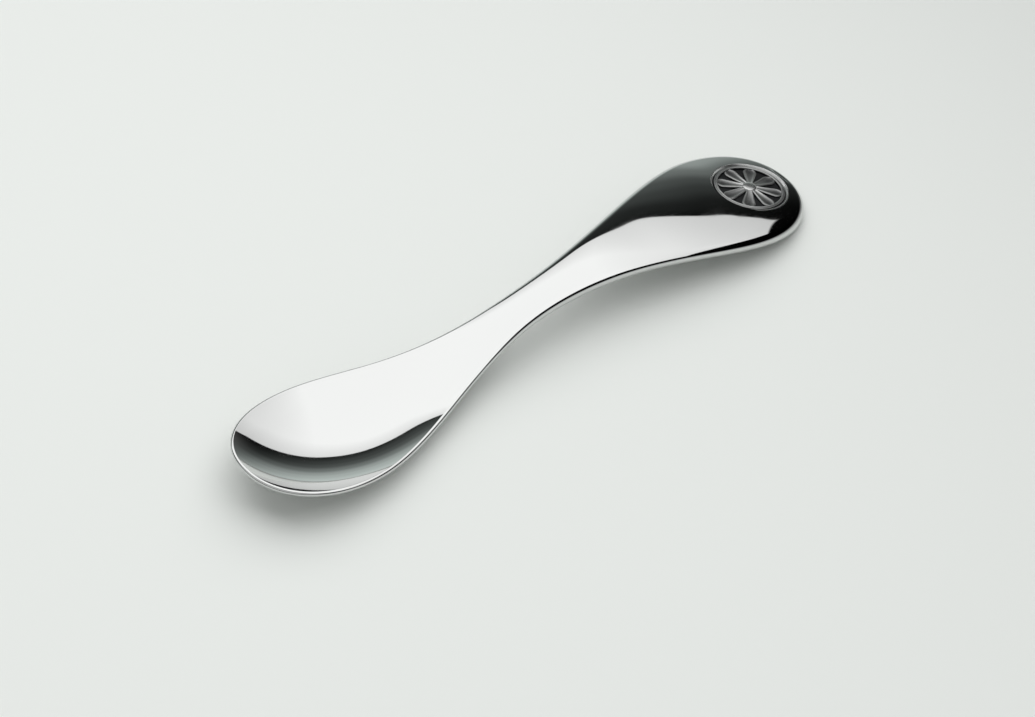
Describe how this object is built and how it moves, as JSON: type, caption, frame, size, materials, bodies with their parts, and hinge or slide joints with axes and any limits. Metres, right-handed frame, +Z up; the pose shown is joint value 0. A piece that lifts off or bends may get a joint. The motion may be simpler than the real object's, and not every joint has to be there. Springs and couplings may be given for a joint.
{
  "type": "teaspoon",
  "caption": "Polished stainless teaspoon with an oval bowl, a slim neck and an arched broad handle that holds an inlaid round rosette medallion.",
  "frame": {"origin": "under the middle of the spoon's length and width, on the surface it lies on", "axes": "+X from the bowl to the handle, +Z up, Y across the spoon"},
  "size_m": [0.14, 0.0294, 0.011],
  "materials": {
    "polished_steel": "mirror polished stainless steel",
    "bond": "cured bond, hidden",
    "dark_backing": "blackened, matt",
    "bright_ring": "turned and polished",
    "satin_ornament": "satin, darkened in its hollows"
  },
  "bodies": {
    "root": {"spoon_body": "polished_steel", "bond_film": "bond", "backing_disc": "dark_backing", "bezel_ring": "bright_ring", "rosette_plate": "satin_ornament"}
  },
  "joints": []
}
